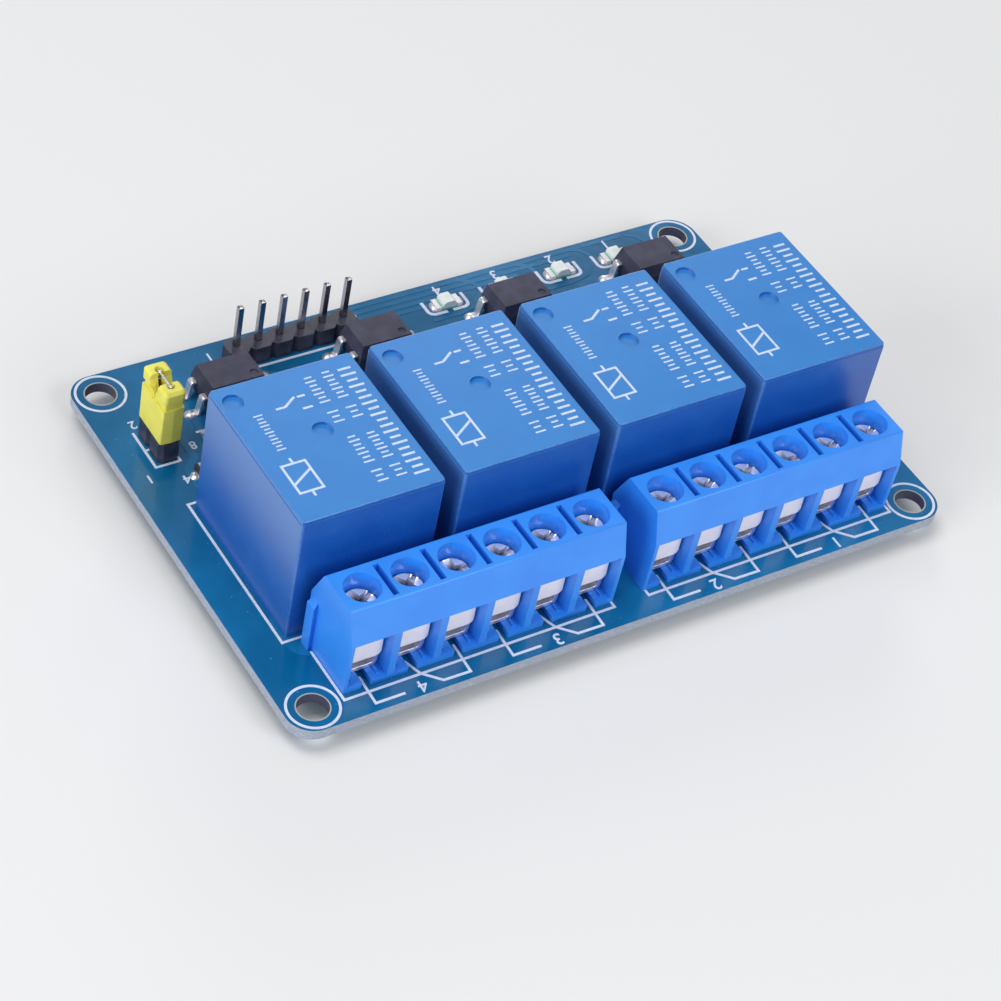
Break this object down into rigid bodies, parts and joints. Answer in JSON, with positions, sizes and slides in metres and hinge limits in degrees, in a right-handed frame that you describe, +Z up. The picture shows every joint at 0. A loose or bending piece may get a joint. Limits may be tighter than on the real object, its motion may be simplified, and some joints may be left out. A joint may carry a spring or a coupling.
{
  "type": "four channel relay module board",
  "caption": "Printed board with sealed relays, screw terminal blocks, optical couplers, indicators, a pin header and a shorting jumper.",
  "frame": {"origin": "centre of the board's outline, at the height of the trimmed pin tips on which it stands", "axes": "+X along the board's long side, +Y from the screw terminals to the pin header, +Z up"},
  "size_m": [0.0772, 0.0512, 0.0187],
  "materials": {
    "board_laminate": "glossy blue solder mask on pale laminate",
    "solder": "bright solder",
    "terminal_plastic": "satin moulded plastic",
    "tinned_metal": "tin plated",
    "guard_steel": "matt plated strip",
    "screw_nickel": "bright plated",
    "relay_plastic": "satin moulded plastic",
    "black_plastic": "fine matt moulding",
    "magnet_iron": "plated iron",
    "contact_brass": "plated brass",
    "lens_plastic": "clear lens on a white carrier",
    "ceramic": "ceramic chip with tinned ends",
    "cap_plastic": "satin moulded plastic"
  },
  "bodies": {
    "module": {"circuit_board": "board_laminate", "solder_joints": "solder", "terminal_housing_1": "terminal_plastic", "terminal_housing_2": "terminal_plastic", "terminal_clamps": "tinned_metal", "relay_case_1": "relay_plastic", "relay_base_1": "black_plastic", "relay_magnet_1": "magnet_iron", "relay_contacts_1": "contact_brass", "relay_case_2": "relay_plastic", "relay_base_2": "black_plastic", "relay_magnet_2": "magnet_iron", "relay_contacts_2": "contact_brass", "relay_case_3": "relay_plastic", "relay_base_3": "black_plastic", "relay_magnet_3": "magnet_iron", "relay_contacts_3": "contact_brass", "relay_case_4": "relay_plastic", "relay_base_4": "black_plastic", "relay_magnet_4": "magnet_iron", "relay_contacts_4": "contact_brass", "coupler_bodies": "black_plastic", "coupler_leads": "tinned_metal", "indicator_leds": "lens_plastic", "chip_resistors": "ceramic", "coil_diodes": "black_plastic", "drive_transistors": "black_plastic", "input_header_body": "black_plastic", "jumper_header_body": "black_plastic", "header_pins": "tinned_metal"},
    "guard_01": {"wire_guard_01": "guard_steel"},
    "guard_02": {"wire_guard_02": "guard_steel"},
    "guard_03": {"wire_guard_03": "guard_steel"},
    "guard_04": {"wire_guard_04": "guard_steel"},
    "guard_05": {"wire_guard_05": "guard_steel"},
    "guard_06": {"wire_guard_06": "guard_steel"},
    "guard_07": {"wire_guard_07": "guard_steel"},
    "guard_08": {"wire_guard_08": "guard_steel"},
    "guard_09": {"wire_guard_09": "guard_steel"},
    "guard_10": {"wire_guard_10": "guard_steel"},
    "guard_11": {"wire_guard_11": "guard_steel"},
    "guard_12": {"wire_guard_12": "guard_steel"},
    "screw_01": {"terminal_screw_01": "screw_nickel"},
    "screw_02": {"terminal_screw_02": "screw_nickel"},
    "screw_03": {"terminal_screw_03": "screw_nickel"},
    "screw_04": {"terminal_screw_04": "screw_nickel"},
    "screw_05": {"terminal_screw_05": "screw_nickel"},
    "screw_06": {"terminal_screw_06": "screw_nickel"},
    "screw_07": {"terminal_screw_07": "screw_nickel"},
    "screw_08": {"terminal_screw_08": "screw_nickel"},
    "screw_09": {"terminal_screw_09": "screw_nickel"},
    "screw_10": {"terminal_screw_10": "screw_nickel"},
    "screw_11": {"terminal_screw_11": "screw_nickel"},
    "screw_12": {"terminal_screw_12": "screw_nickel"},
    "armature_1": {"relay_armature_1": "magnet_iron"},
    "armature_2": {"relay_armature_2": "magnet_iron"},
    "armature_3": {"relay_armature_3": "magnet_iron"},
    "armature_4": {"relay_armature_4": "magnet_iron"},
    "shorting_cap": {"jumper_cap": "cap_plastic", "jumper_clip": "contact_brass"}
  },
  "joints": [
    {"name": "guard_lift_01", "type": "slide", "parent": "module", "child": "guard_01", "axis": [0, 0, 1], "range_m": [-0.00045, 0.0018]},
    {"name": "screw_turn_01", "type": "hinge", "parent": "guard_01", "child": "screw_01", "pos_m": [-0.02975, -0.01913, 0.009], "axis": [0, 0, 1], "range_deg": [-360, 1440]},
    {"name": "guard_lift_02", "type": "slide", "parent": "module", "child": "guard_02", "axis": [0, 0, 1], "range_m": [-0.00045, 0.0018]},
    {"name": "screw_turn_02", "type": "hinge", "parent": "guard_02", "child": "screw_02", "pos_m": [-0.02467, -0.01913, 0.009], "axis": [0, 0, 1], "range_deg": [-360, 1440]},
    {"name": "guard_lift_03", "type": "slide", "parent": "module", "child": "guard_03", "axis": [0, 0, 1], "range_m": [-0.00045, 0.0018]},
    {"name": "screw_turn_03", "type": "hinge", "parent": "guard_03", "child": "screw_03", "pos_m": [-0.01959, -0.01913, 0.009], "axis": [0, 0, 1], "range_deg": [-360, 1440]},
    {"name": "guard_lift_04", "type": "slide", "parent": "module", "child": "guard_04", "axis": [0, 0, 1], "range_m": [-0.00045, 0.0018]},
    {"name": "screw_turn_04", "type": "hinge", "parent": "guard_04", "child": "screw_04", "pos_m": [-0.01451, -0.01913, 0.009], "axis": [0, 0, 1], "range_deg": [-360, 1440]},
    {"name": "guard_lift_05", "type": "slide", "parent": "module", "child": "guard_05", "axis": [0, 0, 1], "range_m": [-0.00045, 0.0018]},
    {"name": "screw_turn_05", "type": "hinge", "parent": "guard_05", "child": "screw_05", "pos_m": [-0.00943, -0.01913, 0.009], "axis": [0, 0, 1], "range_deg": [-360, 1440]},
    {"name": "guard_lift_06", "type": "slide", "parent": "module", "child": "guard_06", "axis": [0, 0, 1], "range_m": [-0.00045, 0.0018]},
    {"name": "screw_turn_06", "type": "hinge", "parent": "guard_06", "child": "screw_06", "pos_m": [-0.00435, -0.01913, 0.009], "axis": [0, 0, 1], "range_deg": [-360, 1440]},
    {"name": "guard_lift_07", "type": "slide", "parent": "module", "child": "guard_07", "axis": [0, 0, 1], "range_m": [-0.00045, 0.0018]},
    {"name": "screw_turn_07", "type": "hinge", "parent": "guard_07", "child": "screw_07", "pos_m": [0.00435, -0.01913, 0.009], "axis": [0, 0, 1], "range_deg": [-360, 1440]},
    {"name": "guard_lift_08", "type": "slide", "parent": "module", "child": "guard_08", "axis": [0, 0, 1], "range_m": [-0.00045, 0.0018]},
    {"name": "screw_turn_08", "type": "hinge", "parent": "guard_08", "child": "screw_08", "pos_m": [0.00943, -0.01913, 0.009], "axis": [0, 0, 1], "range_deg": [-360, 1440]},
    {"name": "guard_lift_09", "type": "slide", "parent": "module", "child": "guard_09", "axis": [0, 0, 1], "range_m": [-0.00045, 0.0018]},
    {"name": "screw_turn_09", "type": "hinge", "parent": "guard_09", "child": "screw_09", "pos_m": [0.01451, -0.01913, 0.009], "axis": [0, 0, 1], "range_deg": [-360, 1440]},
    {"name": "guard_lift_10", "type": "slide", "parent": "module", "child": "guard_10", "axis": [0, 0, 1], "range_m": [-0.00045, 0.0018]},
    {"name": "screw_turn_10", "type": "hinge", "parent": "guard_10", "child": "screw_10", "pos_m": [0.01959, -0.01913, 0.009], "axis": [0, 0, 1], "range_deg": [-360, 1440]},
    {"name": "guard_lift_11", "type": "slide", "parent": "module", "child": "guard_11", "axis": [0, 0, 1], "range_m": [-0.00045, 0.0018]},
    {"name": "screw_turn_11", "type": "hinge", "parent": "guard_11", "child": "screw_11", "pos_m": [0.02467, -0.01913, 0.009], "axis": [0, 0, 1], "range_deg": [-360, 1440]},
    {"name": "guard_lift_12", "type": "slide", "parent": "module", "child": "guard_12", "axis": [0, 0, 1], "range_m": [-0.00045, 0.0018]},
    {"name": "screw_turn_12", "type": "hinge", "parent": "guard_12", "child": "screw_12", "pos_m": [0.02975, -0.01913, 0.009], "axis": [0, 0, 1], "range_deg": [-360, 1440]},
    {"name": "armature_pull_1", "type": "hinge", "parent": "module", "child": "armature_1", "pos_m": [-0.02625, 0.00221, 0.01455], "axis": [1, 0, 0], "range_deg": [0, 3.5], "stiffness_Nm_per_rad": 0.005, "springref_deg": -3.44},
    {"name": "armature_pull_2", "type": "hinge", "parent": "module", "child": "armature_2", "pos_m": [-0.00875, 0.00221, 0.01455], "axis": [1, 0, 0], "range_deg": [0, 3.5], "stiffness_Nm_per_rad": 0.005, "springref_deg": -3.44},
    {"name": "armature_pull_3", "type": "hinge", "parent": "module", "child": "armature_3", "pos_m": [0.00875, 0.00221, 0.01455], "axis": [1, 0, 0], "range_deg": [0, 3.5], "stiffness_Nm_per_rad": 0.005, "springref_deg": -3.44},
    {"name": "armature_pull_4", "type": "hinge", "parent": "module", "child": "armature_4", "pos_m": [0.02625, 0.00221, 0.01455], "axis": [1, 0, 0], "range_deg": [0, 3.5], "stiffness_Nm_per_rad": 0.005, "springref_deg": -3.44},
    {"name": "cap_pull", "type": "slide", "parent": "module", "child": "shorting_cap", "axis": [0, 0, 1], "range_m": [0, 0.0065]}
  ],
  "couplings": [
    {"joint": "screw_turn_01", "follows": "guard_lift_01", "rad_per_m": 13963},
    {"joint": "screw_turn_02", "follows": "guard_lift_02", "rad_per_m": 13963},
    {"joint": "screw_turn_03", "follows": "guard_lift_03", "rad_per_m": 13963},
    {"joint": "screw_turn_04", "follows": "guard_lift_04", "rad_per_m": 13963},
    {"joint": "screw_turn_05", "follows": "guard_lift_05", "rad_per_m": 13963},
    {"joint": "screw_turn_06", "follows": "guard_lift_06", "rad_per_m": 13963},
    {"joint": "screw_turn_07", "follows": "guard_lift_07", "rad_per_m": 13963},
    {"joint": "screw_turn_08", "follows": "guard_lift_08", "rad_per_m": 13963},
    {"joint": "screw_turn_09", "follows": "guard_lift_09", "rad_per_m": 13963},
    {"joint": "screw_turn_10", "follows": "guard_lift_10", "rad_per_m": 13963},
    {"joint": "screw_turn_11", "follows": "guard_lift_11", "rad_per_m": 13963},
    {"joint": "screw_turn_12", "follows": "guard_lift_12", "rad_per_m": 13963}
  ]
}
